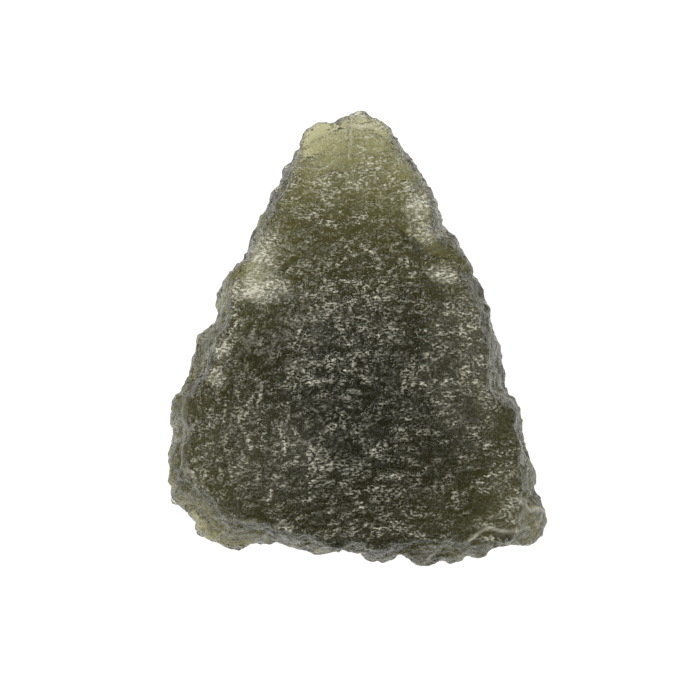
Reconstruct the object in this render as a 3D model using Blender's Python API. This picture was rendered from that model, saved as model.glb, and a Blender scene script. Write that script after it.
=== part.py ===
"""A moldavite: one wedge-shaped piece of olive-green natural glass with an etched skin.

The stone lies on its belly. X runs across it, Y from its thick base to its thin tip, and Z is up.
All lengths are in millimetres until the finished mesh is scaled to metres.
"""

import bmesh
import bpy
import numpy as np
from mathutils import Vector, noise
from mathutils.geometry import delaunay_2d_cdt

MM = 0.001

# The rim is the widest line of the stone, seen from above. Each stretch runs clockwise.
TIP_AND_RIGHT_FLANK = [
    (0.1, 15.0), (0.5, 14.8), (0.9, 14.4), (1.2, 14.1), (1.6, 14.1), (2.0, 13.8), (2.2, 13.2),
    (2.7, 12.9), (3.3, 12.2), (3.6, 11.6), (4.3, 10.7), (4.7, 9.6), (5.3, 8.6), (5.5, 7.3),
    (5.9, 7.0), (6.3, 7.0), (6.6, 6.1), (7.3, 4.4), (7.4, 4.0), (8.0, 3.3), (7.9, 2.5),
    (8.3, 1.9), (8.6, 0.9), (8.8, 0.0), (9.1, -0.3), (9.3, -1.2), (9.4, -2.1), (9.7, -2.4),
    (9.5, -3.5), (9.8, -3.9), (10.2, -4.0), (10.6, -4.9), (10.9, -5.9), (10.8, -6.7),
    (11.3, -8.4), (11.7, -9.2), (11.5, -10.1), (11.7, -10.8), (12.3, -11.6), (12.5, -12.3),
]
BASE = [
    (12.0, -13.2), (11.3, -13.8), (9.7, -13.7), (8.8, -13.9), (8.1, -14.5), (7.7, -14.6),
    (7.2, -14.3), (6.1, -14.9), (5.6, -14.6), (4.2, -15.0), (3.6, -14.8), (3.0, -14.4),
    (2.5, -14.4), (1.8, -14.9), (0.8, -14.7), (0.1, -14.1), (-1.2, -14.0), (-1.6, -14.1),
    (-3.7, -13.9), (-4.6, -13.9), (-5.3, -13.5), (-7.1, -13.6), (-8.0, -14.1), (-10.2, -13.3),
    (-10.7, -13.0), (-10.9, -12.2), (-11.4, -11.6), (-12.5, -10.8),
]
LEFT_FLANK = [
    (-12.4, -9.4), (-12.5, -7.6), (-12.1, -6.2), (-12.3, -5.8), (-12.1, -4.5), (-11.7, -3.8),
    (-11.6, -2.7), (-11.2, -2.4), (-11.2, -1.6), (-10.9, -1.2), (-10.8, -0.2), (-9.6, 0.8),
    (-9.6, 1.2), (-9.3, 1.3), (-9.4, 2.7), (-9.0, 3.7), (-8.6, 4.5), (-7.7, 5.5), (-7.0, 6.9),
    (-6.7, 7.2), (-6.5, 7.8), (-6.1, 8.4), (-5.9, 9.4), (-5.4, 10.0), (-5.0, 11.2), (-4.5, 11.8),
    (-4.3, 12.4), (-4.0, 12.5), (-3.7, 13.4), (-3.2, 13.8), (-2.4, 14.1), (-1.9, 14.0),
    (-1.3, 14.4), (-0.7, 14.6),
]
RIM = np.array(TIP_AND_RIGHT_FLANK + BASE + LEFT_FLANK)
RIM_STEPS = np.roll(RIM, -1, axis=0) - RIM

# The broad upper face is a low dome over the base, and slopes away evenly towards the tip.
HEIGHT = 8.7
DOME_TOP = (-0.3, -5.0)
DOME_FALL_ALONG = 0.006
DOME_FALL_ACROSS = 0.0165
SLOPE_START = -1.5
SLOPE_FALL = 0.296
SLOPE_ROUNDING = 0.8

# The belly is a shallower dome, worn flat where the stone rests.
REST_SPOT = (-0.4, -3.4)
REST_RADIUS = 3.0
BELLY_RISE = 0.0072

# Hollows in the belly, where the glass is thin and lets light through: (place, reach, depth).
HOLLOWS = [
    ((-6.5, 3.8), 2.6, 1.7), ((4.6, 7.2), 2.5, 1.6), ((-9.4, -1.8), 2.3, 1.3),
]

# The rim runs about this share of the way up from the belly to the upper face.
RIM_SHARE = 0.4
RIM_WANDER, RIM_WANDER_LENGTH = 0.2, 5.0

# How far in from the rim each stretch of flank climbs to the upper face: (place, width).
FLANK_WIDTHS = [
    ((0.0, 15.0), 0.4), ((3.0, 12.6), 0.5), ((5.0, 8.5), 0.9), ((7.4, 4.2), 0.6),
    ((8.6, 0.9), 0.5), ((9.7, -3.2), 0.7), ((11.2, -8.0), 0.8), ((12.4, -12.2), 0.9),
    ((9.6, -13.7), 0.9), ((5.0, -14.8), 1.1), ((0.0, -14.1), 0.7), ((-4.0, -13.9), 0.8),
    ((-7.5, -13.8), 1.4), ((-10.6, -13.0), 1.5), ((-12.3, -9.8), 1.0), ((-12.2, -6.0), 0.8),
    ((-11.1, -1.6), 1.0), ((-9.4, 2.2), 0.7), ((-7.8, 5.2), 1.0), ((-5.6, 9.8), 0.5),
    ((-3.6, 13.4), 0.4),
]
BELLY_FLANK_WIDTH = 2.2

# A flank 1 mm wide bulges a little as it climbs, a wide one is hollow, and the crest at the
# flank's top wanders in and out.
CLIMB_POWER = 0.8
CREST_ROUNDING = 0.1
CREST_WANDER, CREST_WANDER_LENGTH = 0.35, 2.5

# Flat chips off the upper face: a point on the chip, the compass angle that it faces, its slope.
CHIPS = [
    ((-3.0, 11.3, 4.8), 102.0, 24.0),
    ((1.7, 12.1, 4.6), 58.0, 25.0),
    ((0.1, 14.1, 3.7), 84.0, 32.0),
    ((11.0, -11.8, 5.7), -32.0, 54.0),
    ((-9.6, -11.6, 5.9), 228.0, 52.0),
]

# What etching and chipping left in the skin, as a length across and a depth: swells all over,
# wrinkles on the broad faces, and broad and small scoops on the flank.
SWELL_LENGTH, SWELL_DEPTH = 5.5, 0.35
WRINKLE_LENGTH, WRINKLE_DEPTH = 1.2, 0.14
SCOOPS = [(4.2, 1.3), (1.6, 0.4)]

# The belly lost this much more, so that it touches the ground only at the resting spot.
BELLY_LOSS = 0.35

# Wrinkles run along X: how much longer than wide they are, and how far they bend.
WRINKLE_STRETCH = 2.6
WRINKLE_BEND, WRINKLE_BEND_LENGTH = 0.5, 3.6

# A skin is broad face where its normal leans on Z by more than the second share, and flank
# where it leans on Z by less than the first.
FLANK_LEAN, FACE_LEAN = 0.45, 0.85

# The relief keeps only this share right at the rim, and is full this far in from it.
RIM_RELIEF, RIM_RELIEF_WIDTH = 0.2, 0.45

# The relief fades out between these two shares of the resting spot's radius.
REST_FADE = (0.5, 1.8)

# The spacing of the points before etching, of the skin that is etched, and the triangles kept.
FIELD_SPACING = 0.5
RIM_CLEARANCE = 0.1
RIM_WELD = 0.01
SKIN_SPACING = 0.27
TRIANGLES = 9400
SHARP_ANGLE = 50.0


def rim_distance(points):
    """How far each point lies from the rim, seen from above."""
    offsets = points[:, None, :] - RIM
    share = np.clip((offsets * RIM_STEPS).sum(2) / (RIM_STEPS**2).sum(1), 0, 1)
    return np.linalg.norm(offsets - share[:, :, None] * RIM_STEPS, axis=2).min(1)


def inside_rim(points):
    """Whether each point lies inside the rim: a ray along X crosses it an odd number of times."""
    x, y = points[:, :1], points[:, 1:]
    x0, y0 = RIM.T
    x1, y1 = np.roll(RIM, -1, axis=0).T
    level = y0 == y1
    crossing_x = x0 + (y - y0) * (x1 - x0) / np.where(level, 1, y1 - y0)
    return (((y0 > y) != (y1 > y)) & (x < crossing_x)).sum(1) % 2 == 1


def smooth_step(value, low, high):
    share = np.clip((value - low) / (high - low), 0, 1)
    return share * share * (3 - 2 * share)


def smooth_min(a, b, radius):
    """The smaller of two values, with the crest between them rounded."""
    blend = np.clip(0.5 + 0.5 * (b - a) / radius, 0, 1)
    return b + (a - b) * blend - radius * blend * (1 - blend)


def on_plan(points):
    """Plan points as points of the plane z = 0."""
    return np.c_[points, np.zeros(len(points))]


def soft_noise(points, length):
    """Smooth noise from about -1 to 1 whose lumps are about one length across."""
    return np.array([noise.noise(Vector(point) / length) for point in points])


def bowls(points, length):
    """Shallow bowls with sharp crests between them, from about -0.2 up to 0.4."""
    nearest = np.array([noise.voronoi(Vector(point) / length)[0][0] for point in points])
    return nearest**2 - 0.2


def upper_face(points):
    """The height of the broad upper face with its flat chips."""
    x, y = points.T
    height = HEIGHT - DOME_FALL_ALONG * (y - DOME_TOP[1]) ** 2
    wedge = HEIGHT - SLOPE_FALL * (y - SLOPE_START)
    height = smooth_min(height, wedge, SLOPE_ROUNDING)
    height = height - DOME_FALL_ACROSS * (x - DOME_TOP[0]) ** 2
    for (px, py, pz), facing, slope in CHIPS:
        angle = np.radians(facing)
        downhill = (x - px) * np.cos(angle) + (y - py) * np.sin(angle)
        height = smooth_min(height, pz - np.tan(np.radians(slope)) * downhill, CREST_ROUNDING)
    return height


def belly(points):
    """The height of the rounded underside, below zero where it will be worn flat."""
    height = BELLY_RISE * (((points - REST_SPOT) ** 2).sum(1) - REST_RADIUS**2)
    for place, reach, depth in HOLLOWS:
        height = height + depth * np.exp(-((points - place) ** 2).sum(1) / reach**2)
    return height


def flank_width(points):
    """The width of the flank near each point, blended from the nearest stretches."""
    places = np.array([place for place, _ in FLANK_WIDTHS])
    widths = np.array([width for _, width in FLANK_WIDTHS])
    weights = 1 / (((points[:, None, :] - places) ** 2).sum(2) + 0.1) ** 2
    wander = CREST_WANDER * soft_noise(on_plan(points), CREST_WANDER_LENGTH)
    return (1 + wander) * (weights * widths).sum(1) / weights.sum(1)


def skin_heights(points):
    """The heights of the upper and the lower skin at each point of the plan."""
    top, bottom = upper_face(points), belly(points)
    wander = RIM_WANDER * soft_noise(on_plan(points), RIM_WANDER_LENGTH)
    rim = bottom + (RIM_SHARE + wander) * (top - bottom)
    inward = rim_distance(points)
    width = flank_width(points)
    climb = np.clip(smooth_min(inward / width, 1.0, CREST_ROUNDING), 0, 1)
    dive = np.clip(inward / BELLY_FLANK_WIDTH, 0, 1)
    upper = rim + (top - rim) * climb ** (CLIMB_POWER * np.sqrt(width))
    return upper, rim + (bottom - rim) * np.sqrt(1 - (1 - dive) ** 2)


def plan_points():
    """The rim and an even field of points inside it."""
    columns = np.arange(RIM[:, 0].min(), RIM[:, 0].max(), FIELD_SPACING)
    rows = np.arange(RIM[:, 1].min(), RIM[:, 1].max(), FIELD_SPACING)
    field = np.stack(np.meshgrid(columns, rows), axis=-1).reshape(-1, 2)
    field = field[inside_rim(field)]
    return np.concatenate([RIM, field[rim_distance(field) > RIM_CLEARANCE]])


def rough_block():
    """The stone before etching: two skins over the same plan, joined at the rim."""
    edges = [(i, (i + 1) % len(RIM)) for i in range(len(RIM))]
    corners = [Vector(point) for point in plan_points()]
    plan, _, faces, *_ = delaunay_2d_cdt(corners, edges, [], 1, 1e-6)
    plan = np.array(plan)
    top, bottom = skin_heights(plan)
    shell = bmesh.new()
    upper = [shell.verts.new((*point, z)) for point, z in zip(plan, top)]
    lower = [shell.verts.new((*point, z)) for point, z in zip(plan, bottom)]
    for face in faces:
        shell.faces.new([upper[i] for i in face])
        shell.faces.new([lower[i] for i in reversed(face)])
    rim_corners = [vert for vert in shell.verts if vert.is_boundary]
    bmesh.ops.remove_doubles(shell, verts=rim_corners, dist=RIM_WELD)
    bmesh.ops.recalc_face_normals(shell, faces=shell.faces)
    return shell


def mesh_object(name, shell):
    """A new object of that name whose mesh is the shell."""
    mesh = bpy.data.meshes.new(name)
    shell.to_mesh(mesh)
    shell.free()
    stone = bpy.data.objects.new(name, mesh)
    bpy.context.scene.collection.objects.link(stone)
    return stone


def apply_modifier(stone, kind, **settings):
    """Run one modifier and keep its result as the object's own mesh."""
    modifier = stone.modifiers.new(kind.lower(), kind)
    for setting, value in settings.items():
        setattr(modifier, setting, value)
    evaluated = stone.evaluated_get(bpy.context.evaluated_depsgraph_get())
    old, stone.data = stone.data, bpy.data.meshes.new_from_object(evaluated)
    stone.modifiers.clear()
    bpy.data.meshes.remove(old)


def etch(stone):
    """Cut swells and wrinkles into the broad faces, and scoops with sharp crests into the flank."""
    mesh = stone.data
    points = np.array([vert.co for vert in mesh.vertices])
    normals = np.array([vert.normal for vert in mesh.vertices])
    x, y, z = points.T
    swell = SWELL_DEPTH * soft_noise(points, SWELL_LENGTH)
    bend = WRINKLE_BEND * soft_noise(points, WRINKLE_BEND_LENGTH)
    streaks = soft_noise(np.c_[x / WRINKLE_STRETCH, y + bend, z], WRINKLE_LENGTH)
    wrinkle = WRINKLE_DEPTH * (1 - 2 * np.abs(streaks))
    scoop = sum(depth * bowls(points, length) for length, depth in SCOOPS)
    broad = smooth_step(np.abs(normals[:, 2]), FLANK_LEAN, FACE_LEAN)
    relief = swell + broad * wrinkle + (1 - broad) * scoop
    inward = smooth_step(rim_distance(points[:, :2]), 0, RIM_RELIEF_WIDTH)
    relief *= RIM_RELIEF + (1 - RIM_RELIEF) * inward
    relief -= BELLY_LOSS * smooth_step(-normals[:, 2], 0, FACE_LEAN)
    from_rest = np.linalg.norm(points - (*REST_SPOT, 0), axis=1) / REST_RADIUS
    relief *= smooth_step(from_rest, *REST_FADE)
    mesh.vertices.foreach_set("co", (points + relief[:, None] * normals).ravel())
    mesh.update()


def finish_shell(stone):
    """Wear the belly flat at z = 0, centre the plan on the origin and turn it all into metres."""
    shell = bmesh.new()
    shell.from_mesh(stone.data)
    for vert in shell.verts:
        vert.co.z = max(vert.co.z, 0)
    flat = [face for face in shell.faces if all(vert.co.z == 0 for vert in face.verts)]
    bmesh.ops.dissolve_faces(shell, faces=flat, use_verts=True)
    points = np.array([vert.co for vert in shell.verts])
    x, y, _ = -(points.min(0) + points.max(0)) / 2
    bmesh.ops.translate(shell, vec=(x, y, 0), verts=shell.verts)
    bmesh.ops.scale(shell, vec=(MM, MM, MM), verts=shell.verts)
    shell.to_mesh(stone.data)
    shell.free()


def olive_glass():
    """Dark olive see-through glass with a satin skin."""
    material = bpy.data.materials.new("moldavite_glass")
    material.use_nodes = True
    surface = material.node_tree.nodes["Principled BSDF"]
    surface.inputs["Base Color"].default_value = (0.1, 0.11, 0.06, 1)
    surface.inputs["Roughness"].default_value = 0.3
    surface.inputs["Metallic"].default_value = 0
    surface.inputs["IOR"].default_value = 1.49
    surface.inputs["Transmission Weight"].default_value = 1
    return material


def main():
    for old in list(bpy.data.objects):
        bpy.data.objects.remove(old)
    stone = mesh_object("moldavite", rough_block())
    apply_modifier(stone, "REMESH", mode="VOXEL", voxel_size=SKIN_SPACING)
    apply_modifier(stone, "SMOOTH", factor=0.5, iterations=2)
    etch(stone)
    triangles_now = 2 * len(stone.data.polygons)
    apply_modifier(stone, "DECIMATE", ratio=TRIANGLES / triangles_now)
    finish_shell(stone)
    stone.data.materials.append(olive_glass())
    stone.data.shade_smooth()
    stone.data.set_sharp_from_angle(angle=np.radians(SHARP_ANGLE))


main()
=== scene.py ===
"""A moldavite lying on a pale floor, seen from straight above under soft studio light.

The stone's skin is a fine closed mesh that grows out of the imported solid. Its lengths are in
millimetres until it is finished. The floor, the camera and the lights are in metres.
"""

import math

import bmesh
import bpy
import numpy as np
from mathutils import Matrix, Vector, kdtree, noise

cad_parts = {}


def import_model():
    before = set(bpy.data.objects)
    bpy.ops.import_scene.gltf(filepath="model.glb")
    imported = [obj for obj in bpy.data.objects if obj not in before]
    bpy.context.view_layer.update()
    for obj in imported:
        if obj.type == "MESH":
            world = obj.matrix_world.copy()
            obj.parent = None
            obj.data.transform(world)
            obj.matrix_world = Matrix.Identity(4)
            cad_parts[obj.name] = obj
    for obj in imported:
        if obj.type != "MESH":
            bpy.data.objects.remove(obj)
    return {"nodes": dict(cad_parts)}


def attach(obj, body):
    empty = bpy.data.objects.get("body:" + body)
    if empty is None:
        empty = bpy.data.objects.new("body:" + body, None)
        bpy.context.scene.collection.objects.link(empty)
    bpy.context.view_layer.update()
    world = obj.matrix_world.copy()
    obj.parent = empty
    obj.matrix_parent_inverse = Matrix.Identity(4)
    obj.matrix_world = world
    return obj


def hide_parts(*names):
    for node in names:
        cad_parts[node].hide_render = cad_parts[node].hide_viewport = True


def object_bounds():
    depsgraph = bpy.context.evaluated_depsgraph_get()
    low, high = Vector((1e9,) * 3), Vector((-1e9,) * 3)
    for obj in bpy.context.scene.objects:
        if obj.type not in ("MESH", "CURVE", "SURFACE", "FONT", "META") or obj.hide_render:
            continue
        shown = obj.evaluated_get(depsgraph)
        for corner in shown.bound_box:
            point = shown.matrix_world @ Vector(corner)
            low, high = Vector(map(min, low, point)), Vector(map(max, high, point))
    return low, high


MM = 0.001
NODE = "moldavite"
SLOT = "moldavite_glass"
SEED = 11

# The photograph's frame: its size in pixels, the stone's length in them, and its centre there.
FRAME_PIXELS = 700
STONE_PIXELS = 450
STONE_CENTRE_PIXELS = (358.5, 338)

# The fine skin: its mesh spacing, and how much the solid's flat triangles are rounded first.
SKIN_SPACING = 0.137
ROUNDING_STEPS = 5
ROUNDING = 0.5

# Etched strokes: raised lumps, longer than wide, with sharp grooves where they meet. Each one's
# size, and how frosted its top is, with frost that partly paints a silver sheen, are drawn
# between two ends.
STROKE_WIDTH = (0.28, 0.48)
STROKE_LENGTH = (0.5, 2.0)
STROKE_HEIGHT = (0.04, 0.17)
STROKE_FROST_AND_SHEEN = (-0.1, 1.4)
STROKES_PER_SQUARE_MM = 4.5

# Which way the strokes run on the upper face: (place, reach, angle, spread), in degrees.
STROKE_FIELDS = [
    ((7.4, -1.1), 4.0, 0, 8),
    ((4.8, -10.1), 5.0, 2, 14),
    ((-5.6, -10.8), 4.5, 14, 12),
    ((-0.2, -3.8), 4.0, 30, 80),
    ((-5.4, -6.8), 2.5, 88, 14),
    ((-3.6, -4.6), 1.2, -42, 10),
    ((-8.9, -4.8), 3.0, 80, 50),
    ((-1.2, 8.2), 5.0, 5, 45),
]

# Smooth chips on the upper face that hold no strokes: (centre, radii).
SMOOTH_CHIPS = [((-2.8, 12.5), (2.3, 1.5))]
CHIP_EDGE = 0.15

# Thin raised ridge lines between chips on the upper side: how hazy each is, and its plan points.
# They wander a little, grow fainter in places, and fade out where the skin is as steep as a wall.
RIDGES = [
    (0.6, [(-0.5, 14.6), (-0.6, 13.4), (-0.7, 12.0)]),
    (0.6, [(-0.5, 14.1), (0.3, 14.1), (1.3, 13.9)]),
    (0.3, [(-0.6, 12.2), (-1.6, 11.6), (-2.6, 11.3), (-5.0, 11.2)]),
    (0.35, [(-11.5, -4.1), (-11.4, -6.1), (-11.5, -8.1), (-10.8, -9.7)]),
    (0.35, [(-12.4, -10.9), (-10.6, -11.1), (-9.6, -11.6), (-8.4, -12.1), (-6.9, -12.1)]),
    (0.35, [(-6.9, -12.1), (-6.4, -12.7)]),
    (0.35, [(-9.3, -11.8), (-8.9, -12.9), (-9.6, -13.4)]),
    (0.35, [(-7.0, -12.2), (-6.3, -12.9), (-5.6, -13.2), (-4.6, -13.0), (-3.4, -13.4)]),
    (0.35, [(-5.6, -12.6), (-5.0, -12.1), (-4.5, -12.7)]),
    (0.4, [(10.8, -6.9), (10.9, -8.8), (11.3, -10.4)]),
    (0.6, [(7.4, -13.2), (8.9, -12.4), (10.0, -12.9), (11.3, -12.6)]),
    (0.6, [(10.4, -10.6), (11.4, -11.4), (12.2, -11.6)]),
]
RIDGE_WIDTH, RIDGE_HEIGHT = 0.17, 0.08
RIDGE_WANDER, RIDGE_WANDER_LENGTH = 0.25, 1.1
RIDGE_FADES, RIDGE_LEAST = (-0.35, 0.25), 0.6
RIDGE_FULL_HEIGHT_HAZE = 0.3

# Finer relief: grains all over, and scallops with sharp crests on the flank, as length and depth.
GRAIN_LENGTH, GRAIN_DEPTH, CHIP_GRAIN_LOSS = 0.24, 0.045, 0.8
SCALLOPS = [(1.3, 0.2), (0.6, 0.22)]
SCALLOP_FLOOR = -0.2
CREST_WIDTH, CREST_HAZE = 0.13, 0.22

# How upright the skin's normal is: on steep walls, on the flank and on the broad faces.
WALL_LEAN, FLANK_LEAN, FACE_LEAN = (0.1, 0.45), 0.5, 0.85

# Etching sinks the belly this much, so that the strokes show on the resting spot too.
BELLY_LOSS = 0.07

# Frost is skin that scatters light in grains: partly the etched skin's own frost, partly a painted
# silver sheen. The strokes' tops have it, as painted highlights, more of it in patches: these come
# in between two values of a noise, and the tops between two shares of the height.
FROST_PATCH_LENGTH = 1.6
FROST_PATCHES = (-0.3, 0.3)
FROST_AND_SHEEN_TOPS = (0.1, 0.7)
FROST_LEAST, PATCH_LEAST = 0.45, 0.4
STROKE_FROST_LEAST = 0.15
FLANK_FROST_LOSS, FLANK_SPOT_LOSS = 0.75, 0.7
FROST_AND_PAINTED_LIGHT_MOST = 0.9

# Spots of the upper face where the frost is thicker, a painted glow of thin glass lit from below,
# or thinner: (centre, radii, change).
PAINTED_LIGHT_SPOTS = [
    ((-6.5, 5.1), (1.1, 2.4), 1.4),
    ((-6.8, 3.2), (2.3, 0.9), 1.4),
    ((4.5, 8.0), (1.1, 2.0), 1.8),
    ((5.7, 4.1), (0.9, 0.6), 1.4),
    ((-9.6, -0.6), (1.1, 0.9), 1.2),
    ((-9.4, -2.5), (0.6, 0.5), 1.2),
    ((7.2, -1.6), (2.6, 4.8), 0.3),
    ((-6.5, -7.5), (4.0, 3.0), 0.25),
    ((-6.1, -1.5), (1.2, 1.6), -0.4),
    ((-0.3, 12.8), (4.5, 3.5), 0.35),
    ((10.2, -10.5), (1.8, 2.2), 0.2),
]
SPOT_BEND, SPOT_BEND_LENGTH = 0.5, 1.6
SPOT_LEAST, SPOT_EDGE = 0.3, 0.5
# The spots' haze: a painted pale glow of thin glass lit from below.
PAINTED_GLOW_HAZE = 0.16

# The glass, per millimetre of thickness: how much red, green and blue it takes out. The strongest
# of the three is this share of the volume's density.
ABSORPTION = (0.52, 0.53, 0.82)
STRONGEST_SHARE = 0.92
IOR = 1.49

# The skin's gloss comes in patches: the noise that makes them, and its roughness there.
GLOSS_LENGTH, GLOSS_NOISE, ROUGHNESS = 0.8, (0.3, 0.7), (0.15, 0.32)

# Pits too fine for the mesh, and the colour and grains of the frost and painted sheen, the grains
# drawn out along X.
PIT_LENGTH, PIT_DEPTH = 0.18, 0.08
FROST_AND_PAINTED_LIGHT_COLOUR = (0.95, 0.93, 0.8)
SPECKLE_LENGTH, SPECKLE_SQUEEZE, SPECKLE_NOISE = 0.13, (0.55, 1, 1), (0.46, 0.68)

# The lights stand in a ring, all at one height and distance, and are a little warm.
LIGHT_BRIGHTNESS = (4.4, 1.2, 0.9, 1.2, 1.1)
FIRST_AZIMUTH, ELEVATION = 120, 44
LIGHT_DISTANCE, LIGHT_SIDE = 0.5, 0.25
WARM = (1.0, 0.985, 0.88)

# The sky is white at the horizon, like the floor, and dim from a little above it.
SKY_HEIGHTS, SKY_STRENGTHS = (0.05, 0.08), (1.0, 0.15)

# The floor gives off light, so that it is white in the picture, and lies just under the stone.
FLOOR_SIZE, FLOOR_GAP = 12.0, 0.02
FLOOR_COLOUR, FLOOR_GLOW = (0.35, 0.35, 0.35), (1, 1, 0.98)

# The camera's height, and how far up the stone its widest rim is.
CAMERA_HEIGHT, RIM_SHARE = 0.4, 0.4


def smooth_step(value, low, high):
    share = np.clip((value - low) / (high - low), 0, 1)
    return share * share * (3 - 2 * share)


def from_least(least, share):
    """A share from 0 to 1, raised to run from least to 1."""
    return least + (1 - least) * share


def soft_noise(points, length):
    """Smooth noise from about -1 to 1 whose lumps are about one length across."""
    return np.array([noise.noise(Vector(point) / length) for point in points])


def bowls(points, length):
    """The height of shallow bowls, below 0 in their middles, and 1 on the crests between them."""
    cells = [noise.voronoi(Vector(point) / length)[0][:2] for point in points]
    nearest, second = np.array(cells).T
    return nearest**2 + SCALLOP_FLOOR, 1 - smooth_step(second - nearest, 0, CREST_WIDTH)


def skin_object(node):
    """A copy of the solid in millimetres, welded, meshed finely and evenly, and rounded."""
    welded = bmesh.new()
    welded.from_mesh(node.data)
    bmesh.ops.scale(welded, vec=(1 / MM,) * 3, verts=welded.verts)
    bmesh.ops.remove_doubles(welded, verts=welded.verts, dist=1e-4)
    mesh = bpy.data.meshes.new(NODE + "_skin")
    welded.to_mesh(mesh)
    welded.free()
    skin = bpy.data.objects.new(NODE + "_skin", mesh)
    bpy.context.scene.collection.objects.link(skin)
    apply_modifier(skin, "REMESH", mode="VOXEL", voxel_size=SKIN_SPACING)
    apply_modifier(skin, "SMOOTH", factor=ROUNDING, iterations=ROUNDING_STEPS)
    return skin


def apply_modifier(skin, kind, **settings):
    """Run one modifier and keep its result as the object's own mesh."""
    modifier = skin.modifiers.new(kind.lower(), kind)
    for setting, value in settings.items():
        setattr(modifier, setting, value)
    evaluated = skin.evaluated_get(bpy.context.evaluated_depsgraph_get())
    old, skin.data = skin.data, bpy.data.meshes.new_from_object(evaluated)
    skin.modifiers.clear()
    bpy.data.meshes.remove(old)


def points_and_normals(mesh):
    points = np.empty(3 * len(mesh.vertices), np.float32)
    normals = np.empty(3 * len(mesh.vertices), np.float32)
    mesh.vertices.foreach_get("co", points)
    mesh.vertex_normals.foreach_get("vector", normals)
    return points.reshape(-1, 3).astype(float), normals.reshape(-1, 3).astype(float)


def stroke_angle(x, y, random):
    """The way that one stroke at x, y runs, drawn at random from the fields that reach it."""
    pulls = np.array([
        math.exp(-((x - px) ** 2 + (y - py) ** 2) / reach**2) + 1e-6
        for (px, py), reach, _, _ in STROKE_FIELDS
    ])
    _, _, angle, spread = STROKE_FIELDS[random.choice(len(pulls), p=pulls / pulls.sum())]
    return math.radians(angle + spread * random.uniform(-1, 1))


def stroke_relief(points, normals, smooth):
    """The height that the highest stroke on each point adds, and how frosted that stroke is, with
    frost that partly paints a sheen.
    """
    random = np.random.default_rng(SEED)
    tree = kdtree.KDTree(len(points))
    for i, point in enumerate(points):
        tree.insert(point, i)
    tree.balance()
    area_each = SKIN_SPACING**2
    count = int(STROKES_PER_SQUARE_MM * area_each * len(points))
    relief = np.zeros(len(points))
    stroke_frost_and_sheen = np.zeros(len(points))
    for i in random.choice(len(points), count, replace=False):
        centre, normal = points[i], normals[i]
        width = random.uniform(*STROKE_WIDTH)
        length = max(width, random.uniform(*STROKE_LENGTH))
        height = random.uniform(*STROKE_HEIGHT) * (1 - smooth[i])
        angle = stroke_angle(centre[0], centre[1], random)
        along = np.array([math.cos(angle), math.sin(angle), 0])
        along -= normal * (along @ normal)
        along /= np.linalg.norm(along) + 1e-9
        across = np.cross(normal, along)
        near = np.array([index for _, index, _ in tree.find_range(centre, length / 2)])
        offsets = points[near] - centre
        u = 2 * (offsets @ along) / length
        v = 2 * (offsets @ across) / width
        dome = height * np.sqrt(np.clip(1 - u * u - v * v, 0, 1))
        top_frost_and_sheen = random.uniform(*STROKE_FROST_AND_SHEEN)
        higher = dome > relief[near]
        relief[near[higher]] = dome[higher]
        stroke_frost_and_sheen[near[higher]] = top_frost_and_sheen
    return relief, stroke_frost_and_sheen


def ridge_haze(points, normals):
    """Each ridge's haze on its line, falling to 0 a ridge's width away and on steep walls."""
    bend = RIDGE_WANDER * soft_noise(points, RIDGE_WANDER_LENGTH)
    plan = points[:, :2] + bend[:, None]
    haze = np.zeros(len(points))
    for strength, line in RIDGES:
        for start, end in zip(line, line[1:]):
            start, step = np.array(start), np.subtract(end, start)
            share = np.clip((plan - start) @ step / (step @ step), 0, 1)
            away = np.linalg.norm(plan - start - share[:, None] * step, axis=1)
            haze = np.maximum(haze, strength * (1 - smooth_step(away, 0, RIDGE_WIDTH)))
    fade = smooth_step(soft_noise(points, RIDGE_WANDER_LENGTH), *RIDGE_FADES)
    return haze * from_least(RIDGE_LEAST, fade) * smooth_step(normals[:, 2], *WALL_LEAN)


def oval(plan, centre, radii, edge):
    """1 inside an oval of the plan, falling to 0 across its edge, which is a share of its radii."""
    away = np.linalg.norm((plan - centre) / radii, axis=1)
    return 1 - smooth_step(away, 1 - edge, 1 + edge)


def painted_light_spot_frost(points):
    """How much thicker the frost is at each point, for the spots with their uneven outlines: a
    painted glow of thin glass lit from below, or less frost.
    """
    bend = SPOT_BEND * soft_noise(points, SPOT_BEND_LENGTH)
    plan = points[:, :2] + bend[:, None]
    ovals = [change * oval(plan, centre, radii, SPOT_EDGE) for centre, radii, change in PAINTED_LIGHT_SPOTS]
    return sum(ovals)


def smooth_chips(points):
    """1 on the smooth chips, 0 where the skin is fully etched."""
    chips = [oval(points[:, :2], centre, radii, CHIP_EDGE) for centre, radii in SMOOTH_CHIPS]
    return np.maximum.reduce(chips)


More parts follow.
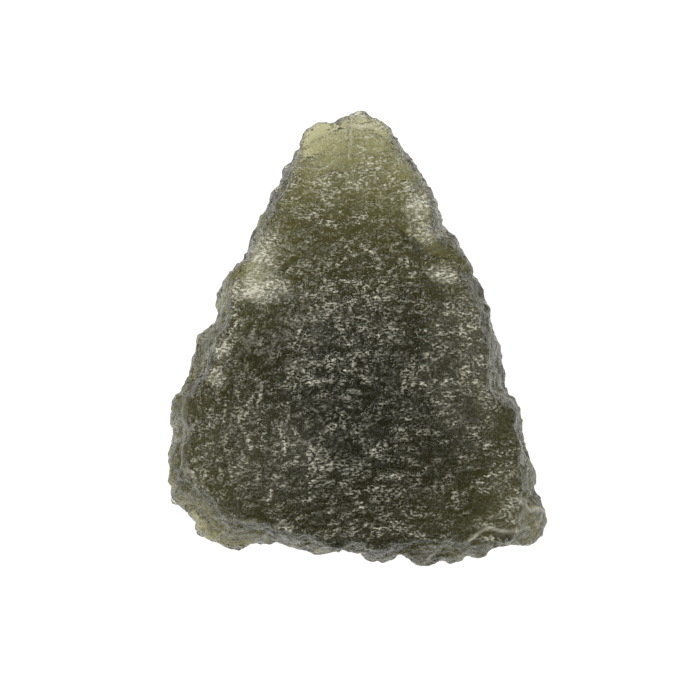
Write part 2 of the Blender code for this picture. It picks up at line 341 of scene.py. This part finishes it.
def etch(skin):
    """Raise the strokes, ridges, scallops and grains, and store the skin's frost and haze, with
    their painted sheen and glow.
    """
    points, normals = points_and_normals(skin.data)
    smooth = smooth_chips(points)
    flank = 1 - smooth_step(np.abs(normals[:, 2]), FLANK_LEAN, FACE_LEAN)
    relief, stroke_frost_and_sheen = stroke_relief(points, normals, smooth)
    patches = smooth_step(soft_noise(points, FROST_PATCH_LENGTH), *FROST_PATCHES)
    upper_patches = from_least(PATCH_LEAST, patches) * (normals[:, 2] > 0)

    # Frost on the strokes' tops, partly a painted sheen where the tops would catch the lights.
    tops = smooth_step(relief / STROKE_HEIGHT[1], *FROST_AND_SHEEN_TOPS)
    frost_and_painted_light = tops * np.maximum(stroke_frost_and_sheen, STROKE_FROST_LEAST) * from_least(FROST_LEAST, patches)
    frost_and_painted_light *= 1 - FLANK_FROST_LOSS * flank
    # Spots of painted glow, where thin glass would be lit from below, or of less frost.
    painted_light_spots = painted_light_spot_frost(points) * (1 - FLANK_SPOT_LOSS * flank) * upper_patches
    frost_and_painted_light = np.maximum(frost_and_painted_light + from_least(SPOT_LEAST, tops) * painted_light_spots, 0)

    ridge = ridge_haze(points, normals)
    relief += RIDGE_HEIGHT * smooth_step(ridge, 0, RIDGE_FULL_HEIGHT_HAZE)
    # The spots' haze is painted glow too; the ridges' and crests' haze is not.
    haze = np.maximum(ridge, PAINTED_GLOW_HAZE * painted_light_spots)
    for length, depth in SCALLOPS:
        bowl, crest = bowls(points, length)
        relief += depth * flank * bowl
        haze = np.maximum(haze, CREST_HAZE * crest * flank * upper_patches)
    for name, values in (("frost_and_painted_light", frost_and_painted_light), ("haze", haze)):
        attribute = skin.data.attributes.new(name, "FLOAT", "POINT")
        attribute.data.foreach_set("value", values.astype(np.float32))

    relief += GRAIN_DEPTH * (1 - CHIP_GRAIN_LOSS * smooth) * soft_noise(points, GRAIN_LENGTH)
    relief -= BELLY_LOSS * smooth_step(-normals[:, 2], 0, FACE_LEAN)
    etched = points + relief[:, None] * normals
    etched[:, 2] = np.maximum(etched[:, 2], 0)
    skin.data.vertices.foreach_set("co", (MM * etched).astype(np.float32).ravel())
    skin.data.update()


def link(tree, source, socket, target, name):
    tree.links.new(source.outputs[socket], target.inputs[name])


def noise_node(tree, source, socket, length, detail):
    """A noise texture whose lumps are about one length across, in millimetres."""
    node = tree.nodes.new("ShaderNodeTexNoise")
    node.inputs["Scale"].default_value = 1 / (length * MM)
    node.inputs["Detail"].default_value = detail
    link(tree, source, socket, node, "Vector")
    return node


def range_node(tree, source, socket, from_range, to_range):
    """A node that maps one range of a value onto another, and holds its ends."""
    node = tree.nodes.new("ShaderNodeMapRange")
    for name, number in zip(("From Min", "From Max", "To Min", "To Max"), from_range + to_range):
        node.inputs[name].default_value = number
    link(tree, source, socket, node, "Value")
    return node


def attribute_node(tree, name):
    node = tree.nodes.new("ShaderNodeAttribute")
    node.attribute_name = name
    return node


def math_node(tree, operation, *inputs):
    """A math node. Each input is a number, or a node with the name of its output."""
    node = tree.nodes.new("ShaderNodeMath")
    node.operation = operation
    node.use_clamp = True
    for socket, value in zip(node.inputs, inputs):
        if isinstance(value, tuple):
            tree.links.new(value[0].outputs[value[1]], socket)
        else:
            socket.default_value = value
    return node


def glass_material():
    """Clear glass, olive where it is deep, on which frost and haze scatter part of the light, and
    paint on a silver sheen and the glow of thin glass lit from below.
    """
    material = bpy.data.materials.new(SLOT)
    material.use_nodes = True
    tree = material.node_tree
    surface = tree.nodes["Principled BSDF"]
    surface.inputs["Base Color"].default_value = (*FROST_AND_PAINTED_LIGHT_COLOUR, 1)
    surface.inputs["IOR"].default_value = IOR
    surface.inputs["Transmission Weight"].default_value = 1
    place = tree.nodes.new("ShaderNodeTexCoord")

    patches = noise_node(tree, place, "Object", GLOSS_LENGTH, 3)
    gloss = range_node(tree, patches, "Fac", GLOSS_NOISE, ROUGHNESS)
    link(tree, gloss, "Result", surface, "Roughness")

    pits = noise_node(tree, place, "Object", PIT_LENGTH, 0.5)
    bump = tree.nodes.new("ShaderNodeBump")
    bump.inputs["Strength"].default_value = 1.0
    bump.inputs["Distance"].default_value = PIT_DEPTH * MM
    link(tree, pits, "Fac", bump, "Height")
    link(tree, bump, "Normal", surface, "Normal")

    # Grains of frost and painted silver sheen, drawn out along X.
    drawn_out = tree.nodes.new("ShaderNodeMapping")
    drawn_out.inputs["Scale"].default_value = SPECKLE_SQUEEZE
    link(tree, place, "Object", drawn_out, "Vector")
    grains = noise_node(tree, drawn_out, "Vector", SPECKLE_LENGTH, 2)
    grains.inputs["Roughness"].default_value = 0.6
    speckle = range_node(tree, grains, "Fac", SPECKLE_NOISE, (0, FROST_AND_PAINTED_LIGHT_MOST))
    frost_and_painted_light = attribute_node(tree, "frost_and_painted_light")
    haze = attribute_node(tree, "haze")
    # Where frost and haze scatter, painted sheen and glow take the place of clear glass.
    scatter = math_node(tree, "MULTIPLY_ADD", (frost_and_painted_light, "Fac"), (speckle, "Result"), (haze, "Fac"))
    clear = math_node(tree, "SUBTRACT", 1, (scatter, "Value"))
    link(tree, clear, "Value", surface, "Transmission Weight")

    depth = tree.nodes.new("ShaderNodeVolumeAbsorption")
    density = max(ABSORPTION) / (STRONGEST_SHARE * MM)
    kept = [1 - taken / (density * MM) for taken in ABSORPTION]
    depth.inputs["Color"].default_value = (*kept, 1)
    depth.inputs["Density"].default_value = density
    link(tree, depth, "Volume", tree.nodes["Material Output"], "Volume")
    return material


def build_stone(frame):
    skin = skin_object(frame["nodes"][NODE])
    etch(skin)
    skin.data.materials.clear()
    skin.data.materials.append(glass_material())
    skin.data.shade_smooth()
    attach(skin, "root")
    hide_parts(NODE)


def build_floor():
    """A plain white floor, far larger than the stone."""
    bpy.ops.mesh.primitive_plane_add(size=FLOOR_SIZE)
    floor = bpy.context.object
    floor.name = "floor"
    floor.location.z = -FLOOR_GAP * MM
    material = bpy.data.materials.new("floor")
    material.use_nodes = True
    surface = material.node_tree.nodes["Principled BSDF"]
    surface.inputs["Base Color"].default_value = (*FLOOR_COLOUR, 1)
    surface.inputs["Roughness"].default_value = 0.9
    surface.inputs["Specular IOR Level"].default_value = 0.1
    surface.inputs["Emission Color"].default_value = (*FLOOR_GLOW, 1)
    surface.inputs["Emission Strength"].default_value = 1.0
    floor.data.materials.append(material)


def softbox(name, azimuth, elevation, distance, side, brightness):
    """A square light that faces the stone. At brightness 1 its face is as bright as white paper."""
    light = bpy.data.lights.new(name, "AREA")
    light.shape = "SQUARE"
    light.size = side
    light.energy = brightness * math.pi * side**2
    light.color = WARM
    lamp = bpy.data.objects.new(name, light)
    a, e = math.radians(azimuth), math.radians(elevation)
    towards = Vector((math.cos(a) * math.cos(e), math.sin(a) * math.cos(e), math.sin(e)))
    lamp.location = distance * towards
    lamp.rotation_euler = lamp.location.to_track_quat("Z", "Y").to_euler()
    bpy.context.scene.collection.objects.link(lamp)


def build_lights():
    turn = 360 / len(LIGHT_BRIGHTNESS)
    for i, brightness in enumerate(LIGHT_BRIGHTNESS):
        azimuth = FIRST_AZIMUTH + turn * i
        softbox(f"softbox_{i + 1}", azimuth, ELEVATION, LIGHT_DISTANCE, LIGHT_SIDE, brightness)


def build_sky():
    """A plain white sky that is bright at the horizon only."""
    world = bpy.data.worlds.new("studio")
    bpy.context.scene.world = world
    world.use_nodes = True
    tree = world.node_tree
    sky = tree.nodes["Background"]
    sky.inputs["Color"].default_value = (1, 1, 1, 1)
    direction = tree.nodes.new("ShaderNodeTexCoord")
    height = tree.nodes.new("ShaderNodeSeparateXYZ")
    link(tree, direction, "Generated", height, "Vector")
    fade = range_node(tree, height, "Z", SKY_HEIGHTS, SKY_STRENGTHS)
    link(tree, fade, "Result", sky, "Strength")


def build_camera(cad_box):
    """A long lens straight above, with the stone where the photograph has it."""
    low, high = cad_box
    pixel = (high[1] - low[1]) / STONE_PIXELS
    rim_height = RIM_SHARE * (high[2] - low[2])
    camera = bpy.data.cameras.new("camera")
    camera.sensor_width = 36
    camera.lens = camera.sensor_width * (CAMERA_HEIGHT - rim_height) / (FRAME_PIXELS * pixel)
    camera.clip_start = 0.01
    camera.clip_end = 10
    eye = bpy.data.objects.new("camera", camera)
    right, down = (FRAME_PIXELS / 2 - centre for centre in STONE_CENTRE_PIXELS)
    eye.location = (right * pixel, -down * pixel, CAMERA_HEIGHT)
    bpy.context.scene.collection.objects.link(eye)
    bpy.context.scene.camera = eye


def main():
    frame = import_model()
    cad_box = [list(corner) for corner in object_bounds()]
    build_stone(frame)
    build_floor()
    build_lights()
    build_sky()
    build_camera(cad_box)
    bpy.context.scene.view_settings.view_transform = "Standard"
    # Light that the glass focuses would only add bright dots, so it is left out.
    bpy.context.scene.cycles.caustics_refractive = False
    bpy.context.scene.cycles.caustics_reflective = False


main()
